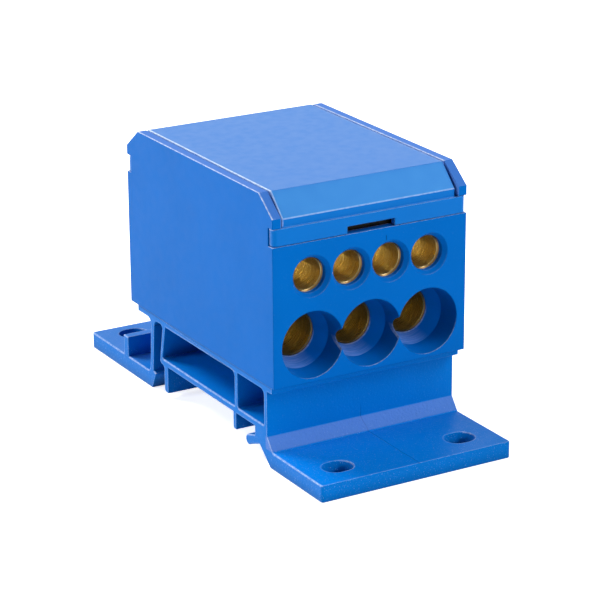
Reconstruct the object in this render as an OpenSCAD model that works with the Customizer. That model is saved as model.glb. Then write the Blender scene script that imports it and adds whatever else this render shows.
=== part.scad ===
// Power distribution block: a brass block with two rows of entries on each side,
// in a moulded housing with a clip-on lid, on a base that clips on a rail or screws down.
// The origin is the bottom centre of the footprint; X runs along the rows, Z is up.

/* [Housing] */
// Width of the housing, along the rows of entries
housing_w = 36; // [32:0.5:44]
// Depth of the housing, front face to rear face
housing_d = 50; // [50:0.5:60]
// Height of the front and rear walls above the base
wall_h = 23.5; // [22.5:0.5:25]
// Thickness of the front and rear walls at the upper row
face_t = 1.7; // [1.2:0.1:2]
// Height of the side plates above the base
plate_h = 31.4; // [28:0.1:34]
// Thickness of the side plates
plate_t = 1.6; // [1.2:0.1:1.7]
// Run of the side plates' corner chamfer, along the depth
plate_chamfer_y = 4.3; // [3:0.1:6]
// Drop of the side plates' corner chamfer
plate_chamfer_z = 3.3; // [2:0.1:3.6]
// Thickness of the housing's floor
floor_t = 1; // [0.8:0.1:1.2]
// Depth of the notches in the side plates, level with the lid's bands
notch_d = 1.4; // [1.2:0.1:1.6]

/* [Upper entries] */
// Number of entries in the upper row
small_count = 4; // [2:1:4]
// Distance between the upper entries
small_pitch = 7.3; // [7.2:0.1:8]
// Height of the upper row above the base
small_z = 17.7; // [17:0.1:18.5]
// Diameter of the mouth at the face
small_mouth_d = 7.1; // [6.4:0.1:7.1]
// Depth of the tapered part of the mouth
small_mouth_depth = 0.8; // [0.5:0.1:1.1]
// Diameter of the hole in the wall
small_hole_d = 5.9; // [5.8:0.1:6.2]
// Diameter of the bore in the brass
small_bore_d = 5.5; // [4.5:0.1:5.5]
// Depth of the bore in the brass
small_bore_depth = 11; // [9.5:0.5:11]

/* [Lower entries] */
// Number of entries in the lower row
large_count = 3; // [1:1:3]
// Distance between the lower entries, less than the mouth so that the mouths run together
large_pitch = 10.8; // [10.4:0.1:11.2]
// Height of the lower row above the base
large_z = 6.25; // [6.1:0.05:6.6]
// Diameter of the mouth at the face
large_mouth_d = 11.3; // [10.8:0.1:11.5]
// Diameter at the step, where the funnel starts
large_step_d = 10.3; // [9.8:0.1:10.6]
// Depth of the step
large_step_depth = 4; // [3:0.1:5]
// Depth of the recess, from the face to the brass
large_recess = 6.7; // [6:0.1:7]
// Diameter of the funnel's small end
large_hole_d = 7.8; // [7.6:0.1:8.2]
// Diameter of the bore in the brass
large_bore_d = 7.5; // [6.5:0.1:7.5]
// Depth of the bore in the brass
large_bore_depth = 15.5; // [14.5:0.5:15.5]

/* [Terminal block] */
// Height of the brass above the base
block_top = 25; // [24.5:0.1:26]
// Clearance between the brass and the housing, each side
block_fit = 0.1; // [0.05:0.05:0.2]
// Chamfer at the mouths of the bores
bore_chamfer = 0.25; // [0.1:0.05:0.3]

/* [Clamp screws] */
// Diameter of the screws of the upper row
small_screw_d = 5; // [4:0.5:5]
// Length of the screws of the upper row
small_screw_l = 6.5; // [6:0.5:7.5]
// Distance of those screws from the face
small_screw_y = 8.5; // [7:0.5:9]
// Diameter of the screws of the lower row
large_screw_d = 6; // [5:0.5:6]
// Length of the screws of the lower row
large_screw_l = 10; // [8:0.5:12]
// Distance of those screws from the face
large_screw_y = 18.5; // [18.5:0.5:19.5]
// Clearance round the screws in their tapped holes
screw_fit = 0.08; // [0.05:0.01:0.12]
// Share of a screw's diameter that its hexagon socket takes, across the corners
socket_ratio = 0.56; // [0.5:0.02:0.62]

/* [Lid] */
// Thickness of the lid's top
lid_t = 1.5; // [1.2:0.1:1.6]
// Gap between the lid and the side plates
lid_gap = 0.4; // [0.2:0.05:0.4]
// Run of the lid's chamfer, along the depth
lid_chamfer_y = 3.65; // [3:0.05:4.5]
// Drop of the lid's chamfer
lid_chamfer_z = 3.65; // [2.5:0.05:3.8]
// Set-back of the lip above the band
lip_setback = 0.5; // [0.3:0.1:0.7]
// Height of the band along the lid's front and rear edges
band_h = 2.8; // [2.4:0.1:3]
// Thickness of the band
band_t = 1.2; // [1:0.05:1.2]
// Gap round the band
band_gap = 0.1; // [0.05:0.05:0.2]
// Least height of the upright strips between the notches or bands and the chamfers
strip_h = 0.3; // [0.2:0.1:0.6]
// Clearance between the lid and the clamp screws
lid_screw_gap = 0.3; // [0.2:0.1:0.5]
// Width of the screwdriver slot in the front and rear bands
pry_slot_w = 8.8; // [6:0.1:12]
// Height of the screwdriver slot
pry_slot_h = 1.2; // [0.8:0.1:1.5]

/* [Base] */
// Height of the base, from the feet to the housing
base_h = 14.1; // [13.6:0.1:15]
// Set-back of the base from the housing's sides
base_inset = 0.3; // [0.2:0.1:1]
// Thickness of the deck under the housing
deck_t = 1.3; // [1:0.1:1.5]
// Set-back of the deck from the housing's front face
deck_front_inset = 1.2; // [0.8:0.1:1.5]
// Set-back of the deck from the housing's rear face
deck_rear_inset = 1.9; // [1:0.1:2.5]
// Set-back of the base's front wall from the housing's front face
wall_inset = 2.8; // [2.4:0.1:3.2]
// Thickness of the base's upright walls
web_t = 1; // [0.8:0.1:1.2]
// Height of the cells inside the base
cell_h = 6.1; // [5.6:0.1:6.2]
// Length of the front cell
front_cell = 8.7; // [8:0.1:10]
// Thickness of the shelf under the cells
shelf_t = 1.1; // [0.9:0.1:1.2]
// How far the leg between the cells reaches below the shelf
mid_leg = 2.9; // [2:0.1:3.2]
// How far the leg behind the rear cell reaches below the shelf
rear_leg = 4.7; // [4:0.1:4.8]
// Distance of the rear leg from the latch wall
rear_leg_gap = 4.1; // [3.8:0.1:4.4]
// Thickness of the rear leg
rear_leg_t = 1.4; // [1.2:0.1:1.6]

/* [Rail fixing] */
// Length of the rail channel, hook to latch wall: a 35 mm rail and its play
rail_gap = 35.8; // [35.6:0.1:36.2]
// Thickness of the block behind the hook
hook_root = 4.1; // [3.8:0.1:4.4]
// Height of the slot between shelf and hook
hook_slot = 1.6; // [1.5:0.1:2]
// Reach of the hook under the rail
hook_reach = 3; // [2.4:0.1:3.2]
// Radius of the hook's nose
nose_r = 0.9; // [0.8:0.05:1]
// Thickness of the thin latch wall
latch_wall_t = 1.2; // [1:0.1:1.4]
// Lean of the rear cell's wall over its height
wall_lean = 1.3; // [0.5:0.1:1.4]
// Lean of the latch wall over its height
latch_lean = 0.7; // [0.4:0.1:0.9]
// Width of the relief slot in front of the latch wall, at its open end
relief_w = 2.5; // [2.2:0.1:2.8]
// Radius at the top of the latch wall, where it meets the deck
latch_root_r = 1.4; // [1:0.1:1.5]
// Reach of the latch tooth under the rail
tooth_reach = 0.9; // [0.7:0.1:1]

/* [Feet] */
// Thickness of the feet
foot_t = 2.85; // [2.6:0.05:3]
// Reach of the front foot beyond the housing's front face
foot_front = 14.3; // [13:0.1:18]
// Reach of the rear foot beyond the housing's rear face
foot_rear = 17; // [16.5:0.1:20]
// Height above the feet at which the front slope starts
slope_rise = 2.2; // [1.5:0.1:3]
// Run of the front slope
slope_run = 1.7; // [1.2:0.1:2]
// Rear face of the housing to the rib on the rear foot
rib_offset = 2.3; // [1.5:0.1:2.6]
// Thickness of the rib
rib_t = 1.8; // [1.4:0.1:2]
// Height of the rib above the foot
rib_h = 3.6; // [3:0.1:4.5]
// Distance between the fixing slots, across the feet
slot_pitch_x = 23; // [20:0.5:25]
// Distance of the front slots from the housing's front face
front_slot_y = 8.7; // [8:0.1:9.5]
// Distance of the rear slots from the housing's rear face
rear_slot_y = 12.8; // [11.5:0.1:13.5]
// Width of the fixing slots
slot_w = 4.2; // [3.5:0.1:4.5]
// Length of the fixing slots
slot_l = 5.2; // [5:0.1:6.5]

/* [Hidden] */
$fn = 64;
eps = 0.01;
proud = 0.5;                                // how far a cutting shape stands past a face

foot_span = foot_front + housing_d + foot_rear;
front_y = foot_front - foot_span / 2;      // front face of the housing
mid_y = front_y + housing_d / 2;
base_w = housing_w - 2 * base_inset;
tier_z = (small_z - small_bore_d / 2 + large_z + large_bore_d / 2) / 2;
band_top = wall_h + band_gap + band_h;
slot_top = band_top + band_gap;             // top of the notches in the side plates
lid_w = housing_w - 2 * (plate_t + lid_gap);
block_w = housing_w - 2 * (plate_t + block_fit);
lid_under = plate_h - lid_t - lid_screw_gap;   // how high the clamp screws may reach
small_row_edge = row_x(small_count, small_count, small_pitch) + small_screw_d / 2;
lid_travel = 12;

// pegs of the base in the housing's floor
peg_d = 4;
peg_fit = 0.1;
peg_x = 11;
peg_y = 14;

drill_tip = 0.3;                            // height of a drill's cone, as a share of its diameter
shelf_z = base_h - deck_t - cell_h - shelf_t;
hook_face = wall_inset + hook_root;         // where the rail's front edge stops
latch_face = hook_face + rail_gap;          // where its rear edge stops
rear_wall_face = latch_face - relief_w;     // rear face of the rear cell's wall

SMALL_NAMES = [for (side = ["front", "rear"], i = [1 : small_count]) str("clamp_screw_", side, "_small_", i)];
LARGE_NAMES = [for (side = ["front", "rear"], i = [1 : large_count]) str("clamp_screw_", side, "_large_", i)];

function row_x(i, count, pitch) = (i - (count + 1) / 2) * pitch;

// The row i of the front (side 0) or the rear (side 1), in a frame that starts at
// the middle of that face's bottom edge and looks inwards along Y
module at_face(side) {
    translate([0, mid_y, base_h])
        mirror([0, side, 0])
            translate([0, -housing_d / 2, 0])
                children();
}

module at_row(count, pitch, z) {
    for (i = [1 : count])
        translate([row_x(i, count, pitch), 0, z])
            children();
}

// A turned shape that goes inwards from the face. Its profile gives radius and depth,
// from the rim inwards, and is closed along the axis.
module inward(profile) {
    last = profile[len(profile) - 1];
    rotate([-90, 0, 0])
        rotate_extrude()
            polygon(concat([[0, profile[0][1]]], profile, last[0] > 0 ? [[0, last[1]]] : []));
}

// ---- housing ----

module plate_profile() {
    d = housing_d;
    chamfer_z = min(plate_chamfer_z, plate_h - slot_top - strip_h);
    polygon([
        [0, 0], [0, wall_h], [notch_d, wall_h], [notch_d, slot_top], [0, slot_top],
        [0, plate_h - chamfer_z], [plate_chamfer_y, plate_h],
        [d - plate_chamfer_y, plate_h], [d, plate_h - chamfer_z],
        [d, slot_top], [d - notch_d, slot_top], [d - notch_d, wall_h], [d, wall_h], [d, 0]
    ]);
}

module side_plate(side) {
    translate([side ? housing_w / 2 - plate_t : -housing_w / 2, front_y, base_h])
        rotate([90, 0, 90])
            linear_extrude(plate_t)
                plate_profile();
}

module small_mouth() {
    rim_r = small_mouth_d / 2;
    hole_r = small_hole_d / 2;
    inward([[rim_r, -proud], [rim_r, 0], [hole_r, small_mouth_depth], [hole_r, face_t + proud]]);
}

module large_mouth() {
    rim_r = large_mouth_d / 2;
    hole_r = large_hole_d / 2;
    inward([
        [rim_r, -proud], [rim_r, 0], [large_step_d / 2, large_step_depth],
        [hole_r, large_recess], [hole_r, large_recess + proud]
    ]);
}

module block_pocket() {
    w = housing_w - 2 * plate_t;
    lower_d = housing_d - 2 * large_recess;
    upper_d = housing_d - 2 * face_t;
    translate([-w / 2, mid_y - lower_d / 2, base_h + floor_t])
        cube([w, lower_d, plate_h]);
    translate([-w / 2, mid_y - upper_d / 2, base_h + tier_z])
        cube([w, upper_d, plate_h]);
}

module at_pegs() {
    for (sx = [-1, 1], sy = [-1, 1])
        translate([sx * peg_x, mid_y + sy * peg_y, base_h])
            children();
}

module housing() {
    color("royalblue")
    difference() {
        union() {
            translate([-housing_w / 2, front_y, base_h])
                cube([housing_w, housing_d, wall_h]);
            side_plate(0);
            side_plate(1);
        }
        block_pocket();
        for (side = [0, 1])
            at_face(side) {
                at_row(small_count, small_pitch, small_z) small_mouth();
                at_row(large_count, large_pitch, large_z) large_mouth();
            }
        at_pegs()
            translate([0, 0, -eps])
                cylinder(h = floor_t + 2 * eps, d = peg_d + 2 * peg_fit);
    }
}

// ---- terminal block ----

module block_bore(y, depth, d) {
    r = d / 2;
    rim_r = r + bore_chamfer;
    inward([
        [rim_r, y - proud], [rim_r, y], [r, y + bore_chamfer],
        [r, y + depth], [0, y + depth + d * drill_tip]
    ]);
}

module tapped_hole(y, z, d) {
    r = d / 2 + screw_fit;
    rim_r = r + bore_chamfer;
    translate([0, y, 0])
        rotate_extrude()
            polygon([
                [0, z], [r, z], [r, block_top - bore_chamfer],
                [rim_r, block_top], [rim_r, block_top + proud], [0, block_top + proud]
            ]);
}

module terminal_block() {
    lower_y = large_recess + block_fit;
    upper_y = face_t + block_fit;
    color("goldenrod")
    difference() {
        union() {
            translate([-block_w / 2, front_y + lower_y, base_h + floor_t])
                cube([block_w, housing_d - 2 * lower_y, tier_z - floor_t + 1]);
            translate([-block_w / 2, front_y + upper_y, base_h + tier_z + block_fit])
                cube([block_w, housing_d - 2 * upper_y, block_top - tier_z - block_fit]);
        }
        for (side = [0, 1])
            at_face(side) {
                at_row(small_count, small_pitch, small_z)
                    block_bore(upper_y, small_bore_depth, small_bore_d);
                at_row(large_count, large_pitch, large_z)
                    block_bore(lower_y, large_bore_depth, large_bore_d);
                at_row(small_count, small_pitch, 0)
                    tapped_hole(small_screw_y, small_z, small_screw_d);
                at_row(large_count, large_pitch, 0)
                    tapped_hole(large_screw_y, large_z, large_screw_d);
            }
    }
}

// ---- clamp screws ----

module clamp_screw(d, l) {
    point = d * 0.15;
    socket_d = d * socket_ratio;
    color("silver")
    difference() {
        union() {
            cylinder(h = point, d1 = d - 2 * point, d2 = d);
            translate([0, 0, point])
                cylinder(h = l - 2 * bore_chamfer - point + eps, d = d);
            translate([0, 0, l - 2 * bore_chamfer])
                cylinder(h = 2 * bore_chamfer, d1 = d, d2 = d - 2 * bore_chamfer);
        }
        translate([0, 0, l - d / 2])
            cylinder(h = d, d = socket_d, $fn = 6);
    }
}

// Backed out at rest, with the tip at the top of its bore and the head under the lid
module backed_out(x, y, z, d, l) {
    translate([x, y, z])
        clamp_screw(d, min(l, lid_under - z));
}

module small_screw(side, i) {
    x = row_x(i, small_count, small_pitch);
    at_face(side)
        backed_out(x, small_screw_y, small_z + small_bore_d / 2, small_screw_d, small_screw_l);
}

module large_screw(side, i) {
    x = row_x(i, large_count, large_pitch);
    at_face(side)
        backed_out(x, large_screw_y, large_z + large_bore_d / 2, large_screw_d, large_screw_l);
}

// ---- lid ----

module lid_profile() {
    d = housing_d;
    bottom = wall_h + band_gap;
    lip_z = plate_h - min(lid_chamfer_z, plate_h - band_top - strip_h);
    top_y = lip_setback + lid_chamfer_y;
    inner_y = lip_setback + lid_t;
    slant = lid_t * 0.4;
    polygon([
        [lip_setback, bottom], [lip_setback, lip_z], [top_y, plate_h],
        [d - top_y, plate_h], [d - lip_setback, lip_z], [d - lip_setback, bottom],
        [d - inner_y, bottom + band_h], [d - inner_y, lip_z - slant], [d - top_y - slant, plate_h - lid_t],
        [top_y + slant, plate_h - lid_t], [inner_y, lip_z - slant], [inner_y, bottom + band_h]
    ]);
}

module lid_channel() {
    translate([-lid_w / 2, front_y, base_h])
        rotate([90, 0, 90])
            linear_extrude(lid_w)
                lid_profile();
}

// The band closes the gap over a wall. It stops at the side plates, so the lid lifts straight up.
module lid_band() {
    translate([-lid_w / 2, 0, wall_h + band_gap])
        cube([lid_w, band_t, band_h]);
}

// Runners that guide the lid between the side plates and keep the brass down
module lid_runner(side) {
    t = min(lid_t, lid_w / 2 - small_row_edge - lid_screw_gap);
    y0 = lip_setback + lid_chamfer_y;
    z0 = block_top + lid_gap;
    translate([side ? lid_w / 2 - t : -lid_w / 2, front_y + y0, base_h + z0])
        cube([t, housing_d - 2 * y0, plate_h - z0 - lid_t / 2]);
}

module lid() {
    color("cornflowerblue")
    difference() {
        union() {
            lid_channel();
            lid_runner(0);
            lid_runner(1);
            for (side = [0, 1])
                at_face(side) lid_band();
        }
        for (side = [0, 1])
            at_face(side)
                translate([-pry_slot_w / 2, -eps, wall_h])
                    cube([pry_slot_w, lip_setback + lid_t + 1, pry_slot_h + band_gap]);
    }
}

// ---- base ----

// What rounds an inside corner, added, or an outside corner, taken away. The corner is at
// the origin, the curve is in the quadrant of +X, +Y, and back reaches into a leaning wall.
module corner(r, back = eps) {
    difference() {
        translate([-back, -eps])
            square([r + back, r + eps]);
        translate([r, r])
            circle(r);
    }
}

module cells() {
    top = base_h - deck_t;
    floor_z = shelf_z + shelf_t;
    front0 = wall_inset + web_t;
    front1 = front0 + front_cell;
    rear0 = front1 + web_t;
    rear1 = rear_wall_face - web_t;
    translate([front0, floor_z])
        square([front_cell, cell_h]);
    polygon([[rear0, floor_z], [rear0, top], [rear1 - wall_lean, top], [rear1, floor_z]]);
}

module cell_corners() {
    top = base_h - deck_t;
    floor_z = shelf_z + shelf_t;
    front0 = wall_inset + web_t;
    rear0 = front0 + front_cell + web_t;
    r = web_t;
    for (y = [front0, rear0]) {
        translate([y, top]) mirror([0, 1]) corner(r);
        translate([y, floor_z]) corner(r / 3);
    }
    for (y = [front0 + front_cell, rear_wall_face - web_t])
        translate([y, floor_z]) mirror([1, 0]) corner(r / 2);
}

module deck_section() {
    y0 = deck_front_inset;
    translate([y0, base_h - deck_t])
        square([housing_d - deck_rear_inset - y0, deck_t]);
}

// The box of cells, whose rear wall leans out and ends in a rounded corner
module cell_section() {
    top = base_h - deck_t;
    difference() {
        polygon([
            [wall_inset, shelf_z], [wall_inset, top + eps],
            [rear_wall_face - wall_lean, top + eps], [rear_wall_face, shelf_z]
        ]);
        cells();
        translate([rear_wall_face, shelf_z]) mirror([1, 0]) corner(web_t * 0.9);
    }
    cell_corners();
}

module leg(y, t, reach) {
    r = t * 0.4;
    translate([y, shelf_z - reach + r])
        square([t, reach - r + shelf_t / 2]);
    translate([y, shelf_z - reach])
        square([t - r, r + eps]);
    translate([y + t - r, shelf_z - reach + r])
        circle(r);
}

// The front wall goes down into the hook for the rail and, by a slope, into the front foot
module front_section() {
    hook_top = shelf_z - hook_slot;
    nose = [hook_face + hook_reach - nose_r, hook_top - hook_reach * 0.38 - nose_r * 0.4];
    crease = wall_inset - slope_run;
    under = [wall_inset + hook_root * 0.64, nose[1] + nose_r * 0.5];
    toe = crease + foot_t * 0.28;
    polygon([
        [wall_inset, shelf_z + shelf_t], [wall_inset, foot_t + slope_rise], [crease, foot_t],
        [-foot_front, foot_t], [-foot_front, 0], [toe, 0], under,
        [nose[0], nose[1] - nose_r], nose, [nose[0] + nose_r * sin(20), nose[1] + nose_r * cos(20)],
        [hook_face, hook_top], [hook_face, shelf_z + shelf_t / 2]
    ]);
    translate(nose) circle(nose_r);
}

// The thin wall hangs from the deck and carries the rear foot with the tooth,
// so it bends back and lets the rail snap in
module latch_section() {
    top = base_h - deck_t;
    tooth_z = foot_t + 0.45;
    tooth_bottom = latch_face + tooth_reach * 0.6;
    end_y = housing_d + foot_rear;
    front = latch_face - latch_lean;
    rear = front + latch_wall_t;
    polygon([
        [front, top + deck_t / 2], [front, top], [latch_face, tooth_z],
        [latch_face - tooth_reach, tooth_z - 0.3], [tooth_bottom, 0],
        [end_y, 0], [end_y, foot_t], [latch_face + latch_wall_t, foot_t],
        [rear, top], [rear, top + deck_t / 2]
    ]);
    back = latch_wall_t / 2;
    translate([latch_face + latch_wall_t - eps, foot_t]) corner(web_t, back);
    translate([rear, top]) mirror([0, 1]) corner(latch_root_r, back);
    translate([front, top]) rotate(180) corner(web_t, back);
    translate([rear_wall_face - wall_lean, top]) mirror([0, 1]) corner(web_t, back);
    translate([housing_d + rib_offset, foot_t / 2])
        square([rib_t, foot_t / 2 + rib_h]);
}

module base_profile() {
    deck_section();
    cell_section();
    leg(wall_inset + web_t + front_cell + web_t * 0.6, web_t, mid_leg);
    leg(latch_face - rear_leg_gap - rear_leg_t, rear_leg_t, rear_leg);
    translate([latch_face - rear_leg_gap, shelf_z]) mirror([0, 1]) corner(web_t * 0.6);
    front_section();
    latch_section();
}

module fixing_slot() {
    run = slot_l - slot_w;
    translate([-run / 2, -slot_w / 2, -eps])
        cube([run, slot_w, foot_t + 2 * eps]);
    for (s = [-1, 1])
        translate([s * run / 2, 0, -eps])
            cylinder(h = foot_t + 2 * eps, d = slot_w);
}

module base() {
    color("dodgerblue")
    difference() {
        union() {
            translate([-base_w / 2, front_y, 0])
                rotate([90, 0, 90])
                    linear_extrude(base_w)
                        base_profile();
            at_pegs()
                translate([0, 0, -deck_t / 2])
                    cylinder(h = deck_t / 2 + floor_t - block_fit, d = peg_d);
        }
        for (y = [front_y - front_slot_y, front_y + housing_d + rear_slot_y], sx = [-1, 1])
            translate([sx * slot_pitch_x / 2, y, 0])
                fixing_slot();
    }
}

base();
housing();
terminal_block();
lid();
for (side = [0, 1], i = [1 : small_count])
    small_screw(side, i);
for (side = [0, 1], i = [1 : large_count])
    large_screw(side, i);
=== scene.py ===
import math

import bmesh
import bpy
from mathutils import Matrix, Vector


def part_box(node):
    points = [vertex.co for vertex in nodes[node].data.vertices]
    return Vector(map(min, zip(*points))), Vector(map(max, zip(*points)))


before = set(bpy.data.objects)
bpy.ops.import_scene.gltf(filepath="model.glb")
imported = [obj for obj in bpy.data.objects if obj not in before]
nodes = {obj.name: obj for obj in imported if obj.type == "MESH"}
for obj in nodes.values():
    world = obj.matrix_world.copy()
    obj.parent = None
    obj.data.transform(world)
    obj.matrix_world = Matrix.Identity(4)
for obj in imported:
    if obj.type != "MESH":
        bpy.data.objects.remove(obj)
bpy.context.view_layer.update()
mm = 0.001
print("frame loaded:", len(nodes), "nodes")

# places that the pieces below are worked out from, in metres
housingLow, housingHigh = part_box("housing")
brassLow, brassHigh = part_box("terminal_block")
baseLow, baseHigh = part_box("base")
lidLow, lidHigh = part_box("lid")
midY = (housingLow.y + housingHigh.y) / 2

# and in mm, for the materials
wallTop = lidLow.z / mm - 0.1           # the lid lies just above the front and rear walls
slopeFoot = wallTop + 3.0               # the lid's slopes and the plates' chamfers lie above this
baseTop = housingLow.z / mm             # the housing stands on the base
frontSide = housingLow.y / mm + 3.35    # the front wall and the front foot lie before this
tierZ = 26.6                            # the brass is set back below this height

cameraRig = {
    "target": Vector((0.0, -1.35, 29.1)) * mm,   # a point inside the housing
    "yaw": -30.203,                              # degrees, from straight ahead along Y
    "pitch": -19.412,
    "roll": -0.319,
    "distance": 419.49 * mm,
    "slide": (-1.605 * mm, 10.432 * mm),         # how far the target stands off the middle, right and up
    "focal": 149.53,                             # mm
    "sensor": 36,                                # mm wide
}


def makeCamera(rig):
    yaw, pitch, roll = (math.radians(rig[k]) for k in ("yaw", "pitch", "roll"))
    forward = Vector((math.sin(-yaw) * math.cos(pitch), math.cos(yaw) * math.cos(pitch), math.sin(pitch)))
    level = forward.cross(Vector((0, 0, 1))).normalized()
    upright = level.cross(forward)
    right = level * math.cos(roll) + upright * math.sin(roll)
    up = upright * math.cos(roll) - level * math.sin(roll)
    place = rig["target"] - forward * rig["distance"] - right * rig["slide"][0] - up * rig["slide"][1]
    camera = bpy.data.objects.new("camera", bpy.data.cameras.new("camera"))
    camera.data.lens = rig["focal"]
    camera.data.sensor_width = rig["sensor"]
    camera.data.clip_start = 0.01
    camera.data.clip_end = 20
    turn = Matrix((right, up, -forward)).transposed().to_4x4()
    camera.matrix_world = Matrix.Translation(place) @ turn
    bpy.context.scene.collection.objects.link(camera)
    bpy.context.scene.camera = camera


# sets a node's inputs, by name or number, and links those that come from another node
def setInputs(tree, node, values):
    for key, value in values.items():
        if hasattr(value, "is_output"):
            tree.links.new(value, node.inputs[key])
        else:
            node.inputs[key].default_value = value


def addNode(tree, kind, values, **settings):
    node = tree.nodes.new(kind)
    for key, value in settings.items():
        setattr(node, key, value)
    setInputs(tree, node, values)
    return node


# a colour with its alpha, k times as light
def shade(colour, k=1.0):
    return tuple(min(1.0, c * k) for c in colour) + (1.0,)


studio = {
    "sky": (1.0, 1.0, 1.0),
    "skyStrength": 0.09,            # for the part; the camera sees the sky at full strength
    "floor": (0.92, 0.92, 0.92),
    "floorSize": 6.0,               # metres
    "floorDrop": 0.02 * mm,         # how far it lies under the part
    "floorLift": 0.74,              # white that it adds for the camera, so that it reads as plain white
    "lamps": {
        # place in metres, height in metres that it is aimed at over the origin, size in metres, watts
        "keyLamp": {"place": (0.46, -0.42, 0.66), "aim": 0.02, "size": 0.42, "watts": 4.3},
        "leftLamp": {"place": (-0.80, 0.14, 0.30), "aim": 0.02, "size": 0.34, "watts": 3.3},
        "frontLamp": {"place": (0.12, -0.95, 0.33), "aim": 0.02, "size": 0.22, "watts": 3.5},
        "rearLamp": {"place": (-0.30, 0.65, 0.65), "aim": 0.03, "size": 0.40, "watts": 8.0},
    },
}


def makeLamp(name, p):
    lamp = bpy.data.objects.new(name, bpy.data.lights.new(name, "AREA"))
    lamp.data.shape = "DISK"
    lamp.data.size = p["size"]
    lamp.data.energy = p["watts"]
    lamp.location = p["place"]
    towards = Vector((0.0, 0.0, p["aim"])) - Vector(p["place"])
    lamp.rotation_euler = towards.to_track_quat("-Z", "Y").to_euler()
    bpy.context.scene.collection.objects.link(lamp)


# 1 for the rays that see the background: camera, glossy and transmission
def backgroundRays(tree):
    ray = tree.nodes.new("ShaderNodeLightPath").outputs
    seen = ray["Is Camera Ray"]
    for name in ("Is Glossy Ray", "Is Transmission Ray"):
        seen = addNode(tree, "ShaderNodeMath", {0: seen, 1: ray[name]}, operation="MAXIMUM").outputs[0]
    return seen


def makeSky(p):
    world = bpy.data.worlds.new("studioSky")
    world.use_nodes = True
    tree = world.node_tree
    tree.nodes.clear()
    lit = addNode(tree, "ShaderNodeBackground", {"Color": shade(p["sky"]), "Strength": p["skyStrength"]})
    seen = addNode(tree, "ShaderNodeBackground", {"Color": shade(p["sky"]), "Strength": 1.0})
    either = {0: backgroundRays(tree), 1: lit.outputs[0], 2: seen.outputs[0]}
    mix = addNode(tree, "ShaderNodeMixShader", either)
    addNode(tree, "ShaderNodeOutputWorld", {0: mix.outputs[0]})
    bpy.context.scene.world = world


def makeFloor(p):
    half = p["floorSize"] / 2
    mesh = bpy.data.meshes.new("floor")
    corners = [(-half, -half, 0), (half, -half, 0), (half, half, 0), (-half, half, 0)]
    mesh.from_pydata(corners, [], [(0, 1, 2, 3)])
    floor = bpy.data.objects.new("floor", mesh)
    floor.location.z = -p["floorDrop"]
    bpy.context.scene.collection.objects.link(floor)
    material = bpy.data.materials.new("floorWhite")
    material.use_nodes = True
    tree = material.node_tree
    tree.nodes.clear()
    matte = addNode(tree, "ShaderNodeBsdfDiffuse", {"Color": shade(p["floor"])})
    lift = {0: backgroundRays(tree), 1: p["floorLift"]}
    strength = addNode(tree, "ShaderNodeMath", lift, operation="MULTIPLY")
    glow = addNode(tree, "ShaderNodeEmission", {"Color": shade(p["sky"]), "Strength": strength.outputs[0]})
    both = addNode(tree, "ShaderNodeAddShader", {0: matte.outputs[0], 1: glow.outputs[0]})
    addNode(tree, "ShaderNodeOutputMaterial", {0: both.outputs[0]})
    mesh.materials.append(material)


bpy.context.scene.view_settings.view_transform = "Standard"
makeCamera(cameraRig)
for name, lamp in studio["lamps"].items():
    makeLamp(name, lamp)
makeSky(studio)
makeFloor(studio)
print("camera, lamps, sky and floor made")


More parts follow.
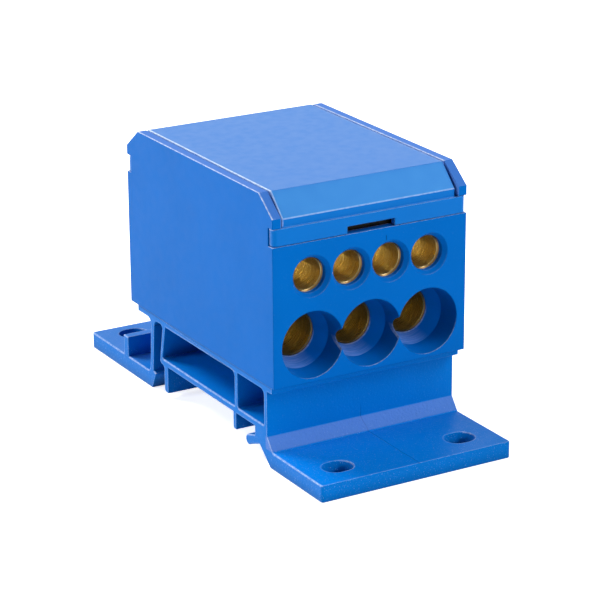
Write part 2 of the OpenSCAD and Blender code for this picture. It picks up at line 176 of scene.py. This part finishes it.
# a material with short ways to add nodes to it; lengths in it are in mm
class Shader:
    def __init__(self, name):
        self.material = bpy.data.materials.new(name)
        self.material.use_nodes = True
        self.tree = self.material.node_tree
        self.tree.nodes.clear()
        self.skin = self.tree.nodes.new("ShaderNodeBsdfPrincipled")
        self.add("ShaderNodeOutputMaterial", {0: self.skin.outputs[0]})
        place = self.tree.nodes.new("ShaderNodeTexCoord").outputs["Object"]
        scale = {0: place, "Scale": 1 / mm}
        self.place = self.add("ShaderNodeVectorMath", scale, operation="SCALE").outputs[0]
        self.x, self.y, self.z = self.parts(self.place)
        self.sideways = self.gap(self.x, 0.0)
        self.fromMid = self.gap(self.y, midY / mm)

    def add(self, kind, values, **settings):
        return addNode(self.tree, kind, values, **settings)

    def parts(self, vector):
        return self.add("ShaderNodeSeparateXYZ", {0: vector}).outputs

    def math(self, operation, a, b):
        return self.add("ShaderNodeMath", {0: a, 1: b}, operation=operation).outputs[0]

    def plus(self, a, b):
        return self.math("ADD", a, b)

    def minus(self, a, b):
        return self.math("SUBTRACT", a, b)

    def times(self, first, *others):
        for other in others:
            first = self.math("MULTIPLY", first, other)
        return first

    def most(self, first, *others):
        for other in others:
            first = self.math("MAXIMUM", first, other)
        return first

    def below(self, value, limit):               # 1 or 0
        return self.math("LESS_THAN", value, limit)

    def above(self, value, limit):
        return self.math("GREATER_THAN", value, limit)

    def gap(self, a, b):
        return self.math("ABSOLUTE", self.minus(a, b), 0.0)

    def facing(self, normal, aim):
        return self.add("ShaderNodeVectorMath", {0: normal, 1: aim}, operation="DOT_PRODUCT").outputs["Value"]

    def span(self, value, low, high, toLow=0.0, toHigh=1.0):
        values = {"Value": value, "From Min": low, "From Max": high, "To Min": toLow, "To Max": toHigh}
        return self.add("ShaderNodeMapRange", values, clamp=True).outputs[0]

    def spread(self, noise, toLow=0.0, toHigh=1.0):      # a noise lies mostly between 0.3 and 0.7
        return self.span(noise, 0.3, 0.7, toLow, toHigh)

    def noise(self, scale, detail=2.0, rough=0.5, stretch=(1.0, 1.0, 1.0)):
        place = {0: self.place, 1: stretch}
        place = self.add("ShaderNodeVectorMath", place, operation="MULTIPLY").outputs[0]
        values = {"Vector": place, "Scale": scale, "Detail": detail, "Roughness": rough}
        return self.add("ShaderNodeTexNoise", values).outputs["Fac"]

    def openness(self, reach, samples, **settings):      # how much of a point's surroundings is empty
        node = self.add("ShaderNodeAmbientOcclusion", {"Distance": reach * mm}, samples=samples, **settings)
        return node.outputs["AO"]

    def blend(self, share, a, b):
        return self.add("ShaderNodeMix", {0: share, 6: a, 7: b}, data_type="RGBA").outputs[2]

    def bump(self, height, depth, strength=1.0, **under):      # depth in metres
        values = {"Height": height, "Distance": depth, "Strength": strength, **under}
        return self.add("ShaderNodeBump", values).outputs[0]

    def finish(self, values):
        setInputs(self.tree, self.skin, values)
        return self.material


# what the three blue mouldings share
moulding = {
    "clouds": (0.97, 1.03),             # how light the colour's clouds are
    "speck": 0.05,                      # how much paler the specks of the grain are
    # colour of the painted highlight on convex edges
    "edgeHighlightColour": (0.74, 0.84, 1.0),
    "patchy": 0.04,                     # how far the roughness varies from the piece's own
    "tint": (0.08, 0.60, 0.95),         # colour of the highlights
    "waveDepth": 6e-6,                  # metres
}


class Moulding(Shader):
    def __init__(self, name, p):
        super().__init__(name)
        self.look = p
        self.soft = self.add("ShaderNodeBevel", {"Radius": p["edge"] * mm}, samples=6).outputs[0]
        self.upwards = self.parts(self.soft)["Z"]
        self.grain = self.noise(p["grain"], 3.0, 0.6)
        self.patches = self.span(self.noise(1.6), 0.35, 0.6, 0.45, 1.0)
        self.edgeHighlight = self.paintedEdgeHighlights()
        dark, light = (shade(p["colour"], k) for k in moulding["clouds"])
        self.paint = self.blend(self.spread(self.noise(0.09, 3.0)), dark, light)
        specks = self.span(self.grain, 0.60, 0.78, 0.0, p["specks"])
        self.coat(specks, [c + moulding["speck"] for c in p["colour"]])

    # painted highlight on convex edges that face the light, where rays sent inwards meet the next face at
    # once; not on those in a corner
    def paintedEdgeHighlights(self):
        convex = self.span(self.openness(0.35, 8, inside=True, only_local=True), 0.92, 0.62)
        free = self.span(self.openness(0.3, 4, only_local=True), 0.75, 0.92)
        lit = self.span(self.facing(self.soft, self.look["highlightSide"]), 0.55, 0.85)
        return self.times(convex, self.patches, free, lit)

    def coat(self, share, colour, k=1.0):        # puts a colour over what is there
        self.paint = self.blend(share, self.paint, shade(colour, k))

    def finishPlastic(self):
        p = self.look
        rough = [p["rough"] + k * moulding["patchy"] for k in (-1, 1)]
        wave = self.bump(self.noise(0.05, 1.0), moulding["waveDepth"], 0.5, Normal=self.soft)
        return self.finish({
            "Base Color": self.blend(self.edgeHighlight, self.paint, shade(moulding["edgeHighlightColour"])),
            "Roughness": self.spread(self.noise(0.6), *rough),
            "Normal": self.bump(self.grain, p["grainDepth"], 1.0, Normal=wave),
            "Specular IOR Level": p["shine"],
            "Specular Tint": shade(moulding["tint"]),
        })


housingLook = {
    "colour": (0.0, 0.126, 0.49),
    "shaded": 0.35,                     # share of the colour that the flash line and the painted shade on the turned walls keep
    "plateInsideHighlight": (0.30, 0.46, 0.88),  # painted highlight on the inner faces of the side plates, close under their top
    # painted sheen on the plates' tops and chamfers, which face up
    "plateTopSheen": (0.05, 0.175, 0.57),
    "sheen": (0.22, 0.36, 0.80),        # painted sheen on the cones in the large funnels
    "sheenSide": (0.42, 0.0, 0.91),     # the way that they face where they shine
    "sheenShare": 0.55,
    "turnedShare": 0.5,
    "rough": 0.40,
    "shine": 0.06,
    "edge": 0.20,                       # radius in mm that its edges look rounded to
    "highlightSide": (-0.5, -0.2, 0.84),     # the way that the edges with a painted highlight face
    "grain": 3.4,                       # waves to the mm
    "grainDepth": 7e-6,                 # metres
    "specks": 0.24,
    # places in mm
    "flashX": 2.8,                      # short upright line under the pry slot
    "flashZ": (35.5, 36.4),
    "funnelX": 10.8,                    # pitch of the large funnels
    "funnelR": 5.8,                     # radius of their mouth
    "funnelZ": 20.35,
    "cone": (3.9, 6.9),                 # depths between which the inner cone lies
    "slopeStart": 20.7,                 # where the side plates' chamfers begin, from the middle along Y
    "slopeFall": 1.17,                  # how fast the painted highlight strip on them falls
}


# short upright line on the front wall
def flashLine(s, p):
    low, high = p["flashZ"]
    line = s.span(s.gap(s.x, p["flashX"]), 0.10, 0.04)
    ends = s.times(s.span(s.z, high, high - 0.2), s.span(s.z, low - 0.05, low))
    return s.times(line, ends, s.below(s.y, frontSide))


# painted sheen in pale streaks on the cones inside the large funnels, where they face up towards the light
def coneSheen(s, p, depth):
    start, end = p["cone"]
    cone = s.times(s.span(depth, start, start + 0.1), s.below(depth, end), s.below(s.z, p["funnelZ"]))
    streaks = s.span(s.noise(1.0, 2.0, 0.6, (0.3, 7.0, 0.3)), 0.35, 0.62, 0.35, 1.0)
    shining = s.span(s.facing(s.soft, p["sheenSide"]), 0.45, 0.85)
    return s.times(cone, shining, streaks, p["sheenShare"])


# painted shade: the walls in front of the cones turn away from the light on their right
def turnedAway(s, p, depth):
    turned = s.span(s.times(s.parts(s.soft)["X"], -1.0), 0.3, 0.9)
    place = s.times(s.above(depth, 0.15), s.below(depth, p["cone"][0]), s.below(s.z, tierZ))
    return s.times(turned, place, s.below(s.sideways, p["funnelX"] + p["funnelR"]), p["turnedShare"])


def makeHousing(p):
    s = Moulding("housingBlue", p)
    side = housingHigh.x / mm
    # the side plates' top is level in the middle and slopes down at both ends
    past = s.most(s.minus(s.fromMid, p["slopeStart"]), 0.0)
    level = s.below(past, 0.01)
    under = s.minus(s.minus(housingHigh.z / mm, s.times(past, p["slopeFall"])), s.z)
    # painted highlight on the plates' inner faces, stronger where their top is level
    inside = s.times(s.span(under, 1.0, 0.6), s.below(s.sideways, side - 1.5))
    s.coat(s.times(inside, s.span(level, 0.0, 1.0, 0.25, 0.7)), p["plateInsideHighlight"])
    # painted sheen where the plates' tops and chamfers face up
    s.coat(s.times(s.span(s.upwards, 0.35, 0.6), s.span(s.z, slopeFoot, slopeFoot + 0.4)), p["plateTopSheen"])
    # painted highlight: above the walls only two of the plates' long edges keep it, the outer on the left and
    # the inner on the right; it is weaker on the walls below
    outerLeft = s.span(s.x, 0.8 - side, 0.5 - side)
    innerRight = s.times(s.span(s.x, 0.0, 0.1), s.span(s.x, side - 1.0, side - 1.2), level)
    low = s.span(s.z, wallTop + 1.0, wallTop + 0.5)
    s.edgeHighlight = s.times(s.edgeHighlight, s.span(s.z, wallTop - 0.5, wallTop + 2.0, 0.45, 1.0))
    s.edgeHighlight = s.times(s.edgeHighlight, s.most(outerLeft, innerRight, low))
    depth = s.minus((housingHigh.y - midY) / mm, s.fromMid)
    # the flash line, a dark mark, and the painted shade on the turned walls
    s.coat(s.most(flashLine(s, p), turnedAway(s, p, depth)), p["colour"], p["shaded"])
    s.coat(coneSheen(s, p, depth), p["sheen"])
    return s.finishPlastic()


lidLook = {
    "colour": (0.0, 0.132, 0.51),
    "top": (0.034, 0.185, 0.575),       # painted sheen: the top and the two slopes, which face up, paler than the bands
    "rough": 0.36,
    "shine": 0.40,
    "edge": 0.35,
    "highlightSide": (-0.70, 0.05, 0.71),
    "grain": 3.4,
    "grainDepth": 2e-6,
    "specks": 0.06,
    "lipTop": 41.85,                    # mm, upper edge of the lip under each slope
}


def makeLid(p):
    s = Moulding("lidBlue", p)
    side = lidHigh.x / mm
    # painted sheen on the faces that look up
    s.coat(s.span(s.upwards, 0.3, 0.6), p["top"])
    # painted highlight: the left edge of the top catches the light, and so does the upper edge of the lip
    left = s.times(s.span(s.x, 0.32 - side, 0.20 - side), s.span(s.z, slopeFoot, slopeFoot + 0.2))
    left = s.times(left, s.span(s.upwards, 0.6, 0.95, 0.3, 1.0))
    lip = s.span(s.gap(s.z, p["lipTop"]), 0.14, 0.05, 0.0, 0.38)
    lip = s.times(lip, s.above(s.fromMid, (lidHigh.y - midY) / mm - 1.5))
    bright = s.times(s.most(left, lip), s.span(s.patches, 0.4, 1.0, 0.6, 0.9))
    s.edgeHighlight = s.most(s.edgeHighlight, bright)
    return s.finishPlastic()


baseLook = {
    "colour": (0.0, 0.158, 0.57),
    "shaded": 0.35,                     # share of the colour that the painted shade in corners and the painted shadow under the housing keep
    "flowShaded": 0.45,                 # and the flow line
    "flowShare": 0.5,
    "frontTop": (0.0, 0.185, 0.66),     # tops of the feet, which lie in more light than their sides
    "rearTop": (0.035, 0.225, 0.71),
    "pits": (0.24, 0.40, 0.82),
    "slope": (0.135, 0.225, 0.60),      # painted sheen on the slope along the front foot
    "slopeSheenShare": 0.55,
    "rough": 0.42,
    "shine": 0.12,
    "edge": 0.25,
    "highlightSide": (-0.70, 0.05, 0.71),
    "grain": 2.6,
    "grainDepth": 3.5e-5,
    "specks": 0.34,
    # places in mm
    "flowX": 0.3,                       # line where the flows meet, on the front foot
    "flowTop": 7.6,                     # how high it runs up
    "flowStep": 0.5,                    # how far it steps aside over the slope
    "slopeZ": (3.0, 5.05),              # between which heights the slope lies
}


# wandering line where the flows of plastic met
def flowLine(s, p):
    low, high = p["slopeZ"]
    drift = s.span(s.z, low + 0.4, high - 0.05, p["flowX"], p["flowX"] - p["flowStep"])
    wander = s.span(s.noise(0.35, 2.0, 0.6, (0.0, 1.0, 1.0)), 0.2, 0.8, -0.15, 0.15)
    line = s.span(s.gap(s.x, s.plus(drift, wander)), 0.12, 0.03)
    line = s.times(line, s.span(s.z, p["flowTop"], p["flowTop"] - 2.0), s.above(s.z, low - 0.3))
    return s.times(line, s.below(s.y, frontSide))


def makeBase(p):
    s = Moulding("baseBlue", p)
    low, high = p["slopeZ"]
    line = flowLine(s, p)
    slope = s.times(s.span(s.z, low - 0.1, low + 0.1), s.span(s.z, high + 0.1, high - 0.1))
    slope = s.times(slope, s.below(s.y, frontSide))
    tops = s.blend(s.span(s.y, 20.0, 24.0), shade(p["frontTop"]), shade(p["rearTop"]))
    s.paint = s.blend(s.span(s.upwards, 0.7, 0.9), s.paint, tops)
    pits = s.span(s.noise(4.5, 1.0), 0.64, 0.74, 0.0, 0.42)
    s.coat(s.times(pits, s.span(s.z, high + 0.15, low + 0.2, 0.2, 1.0)), p["pits"])
    # painted shade in corners and hollows
    corners = s.span(s.openness(3.0, 6), 0.85, 0.35, 0.0, 0.7)
    contactShadow = s.span(s.z, baseTop - 0.55, baseTop - 0.25, 0.0, 0.55)     # painted shadow close under the housing
    s.coat(s.most(corners, contactShadow), p["colour"], p["shaded"])
    s.coat(s.times(line, p["flowShare"]), p["colour"], p["flowShaded"])
    # painted sheen on the slope
    s.coat(s.times(slope, p["slopeSheenShare"]), p["slope"])
    # the slope is rougher, and the line is a shallow groove
    coarse = s.times(s.noise(2.2), s.span(slope, 0.0, 1.0, 0.3, 3.2))
    s.grain = s.minus(s.plus(s.grain, coarse), line)
    return s.finishPlastic()


brassLook = {
    "dark": (0.74, 0.58, 0.26),
    "light": (0.92, 0.80, 0.45),
    "turned": (0.66, 0.48, 0.17),       # in the drill marks
    "lower": (0.57, 0.45, 0.165),       # below the step
    "boreRimDark": (0.16, 0.10, 0.04),         # darker on the end faces and rims of the bores
    "slotShade": (0.02, 0.015, 0.01),     # painted shade on the brass seen through the pry slots
    "rough": (0.20, 0.40),
    "markDepth": 1.6e-5,                # metres
    "metallic": 0.92,
    "step": 5.0,                        # mm that the brass steps back
    "slotHalf": (7.5, 6.0),             # mm from the middle, from bare brass to painted shade
}


def makeBrass(p):
    s = Shader("machinedBrass")
    rings = s.noise(1.0, 2.0, 0.6, (0.25, 9.0, 0.25))      # drill marks, across the bores
    warm = s.blend(s.spread(s.noise(0.35, 3.0, 0.6)), shade(p["dark"]), shade(p["light"]))
    paint = s.blend(s.span(rings, 0.35, 0.65, 0.0, 0.6), warm, shade(p["turned"]))
    lower = s.below(s.z, tierZ)
    paint = s.blend(lower, paint, shade(p["lower"]))
    end = (brassHigh.y - brassLow.y) / 2 / mm
    reach = s.plus(s.fromMid, s.times(lower, p["step"]))
    paint = s.blend(s.span(reach, end - 0.30, end - 0.18), paint, shade(p["boreRimDark"]))
    # painted shade on the brass top behind the pry slots, where the lid shades it
    behindSlot = s.times(s.span(s.z, wallTop - 0.3, wallTop), s.span(s.fromMid, end - 0.12, end - 0.05))
    behindSlot = s.times(behindSlot, s.span(s.sideways, *p["slotHalf"]))
    return s.finish({
        "Base Color": s.blend(behindSlot, paint, shade(p["slotShade"])),
        "Roughness": s.spread(rings, *p["rough"]),
        "Normal": s.bump(rings, p["markDepth"]),
        "Metallic": p["metallic"],
    })


zincLook = {
    "dark": (0.60, 0.60, 0.58),
    "light": (0.78, 0.77, 0.74),
    "rough": (0.25, 0.40),
    "metallic": 1.0,
}


def makeZinc(p):
    s = Shader("zincPlate")
    return s.finish({
        "Base Color": s.blend(s.spread(s.noise(0.8, 3.0)), shade(p["dark"]), shade(p["light"])),
        "Roughness": s.spread(s.noise(3.0), *p["rough"]),
        "Metallic": p["metallic"],
    })


def dress(node, material):
    data = nodes[node].data
    data.materials.clear()
    data.materials.append(material)


dress("housing", makeHousing(housingLook))
dress("lid", makeLid(lidLook))
dress("base", makeBase(baseLook))
dress("terminal_block", makeBrass(brassLook))
zinc = makeZinc(zincLook)
for name in nodes:
    if name.startswith("clamp_screw"):
        dress(name, zinc)
print("materials made")


snapEnds = {
    "root": 0.3 * mm,         # how far inside the band each end begins
    "reach": 17.85 * mm,      # from the middle to the tip
    "height": 2.8 * mm,
    "depth": 1.2 * mm,
    "corner": 0.75 * mm,      # radius of the outer upright corner
    "steps": 6,               # faces round that corner
}


# one end of a band, as a closed block
def bandEnd(p, side, rear):
    r = p["corner"]
    start = lidHigh.x - p["root"]
    outline = [(start, p["depth"]), (start, 0.0)]
    for i in range(p["steps"] + 1):
        turn = math.pi / 2 * i / p["steps"]
        outline.append((p["reach"] - r + r * math.sin(turn), r - r * math.cos(turn)))
    outline.append((p["reach"], p["depth"]))
    faceY = housingHigh.y if rear else housingLow.y
    inwards = -1 if rear else 1
    verts = []
    for z in (lidLow.z, lidLow.z + p["height"]):
        verts += [(side * x, faceY + inwards * y, z) for x, y in outline]
    n = len(outline)
    faces = [tuple(range(n))[::-1], tuple(range(n, 2 * n))]
    faces += [(i, (i + 1) % n, n + (i + 1) % n, n + i) for i in range(n)]
    return verts, faces


# joins the four ends to the lid, which is one moulding
def joinSnapEnds(p):
    verts, faces = [], []
    for side in (-1, 1):
        for rear in (False, True):
            endVerts, endFaces = bandEnd(p, side, rear)
            faces += [tuple(i + len(verts) for i in face) for face in endFaces]
            verts += endVerts
    mesh = bpy.data.meshes.new("snapEndBlocks")
    mesh.from_pydata(verts, [], faces)
    bm = bmesh.new()
    bm.from_mesh(mesh)
    bmesh.ops.recalc_face_normals(bm, faces=bm.faces)
    bm.to_mesh(mesh)
    bm.free()
    mesh.materials.append(nodes["lid"].data.materials[0])
    blocks = bpy.data.objects.new("snapEndBlocks", mesh)
    blocks.hide_render = True
    blocks.hide_viewport = True
    bpy.context.scene.collection.objects.link(blocks)
    join = nodes["lid"].modifiers.new("snapEnds", "BOOLEAN")
    join.operation = "UNION"
    join.solver = "EXACT"
    join.object = blocks


joinSnapEnds(snapEnds)
print("snap ends joined to the lid")


rounding = {
    "edges": {"base": 0.13, "lid": 0.07},    # mm, widths of the nodes' sharp edges
    "edgeSteps": 3,
    "sharp": 25.0,                           # degrees between faces, from which an edge is rounded
    "feet": 0.5,                             # mm, upright corners of the two feet
    "feetSteps": 4,
    "weld": 0.002,                           # mm
    "flat": 0.4,                             # degrees, up to which faces are joined into one
}


# rounds the four upright corners of the feet, each through a vertex group of its own
def roundFeet(p):
    base = nodes["base"]
    corners = {"frontLeft": (baseLow.x, baseLow.y), "frontRight": (baseHigh.x, baseLow.y),
               "rearLeft": (baseLow.x, baseHigh.y), "rearRight": (baseHigh.x, baseHigh.y)}
    near = 0.01 * mm
    for name, (x, y) in corners.items():
        group = base.vertex_groups.new(name=name)
        found = [v.index for v in base.data.vertices if abs(v.co.x - x) < near and abs(v.co.y - y) < near]
        group.add(found, 1.0, "REPLACE")
        corner = base.modifiers.new(name, "BEVEL")
        corner.width = p["feet"] * mm
        corner.segments = p["feetSteps"]
        corner.limit_method = "VGROUP"
        corner.vertex_group = name
        corner.use_clamp_overlap = False


# merges a node's flat faces, so that a bevel can follow its edges
def joinFlats(item, p):
    weld = item.modifiers.new("weld", "WELD")
    weld.merge_threshold = p["weld"] * mm
    flat = item.modifiers.new("flat", "DECIMATE")
    flat.decimate_type = "DISSOLVE"
    flat.angle_limit = math.radians(p["flat"])


def roundEdges(item, width, p):
    bevel = item.modifiers.new("bevel", "BEVEL")
    bevel.width = width * mm
    bevel.segments = p["edgeSteps"]
    bevel.limit_method = "ANGLE"
    bevel.angle_limit = math.radians(p["sharp"])
    bevel.harden_normals = True
    bevel.use_clamp_overlap = False


for name, width in rounding["edges"].items():
    joinFlats(nodes[name], rounding)
    if name == "base":
        roundFeet(rounding)
    roundEdges(nodes[name], width, rounding)
print("edges rounded")
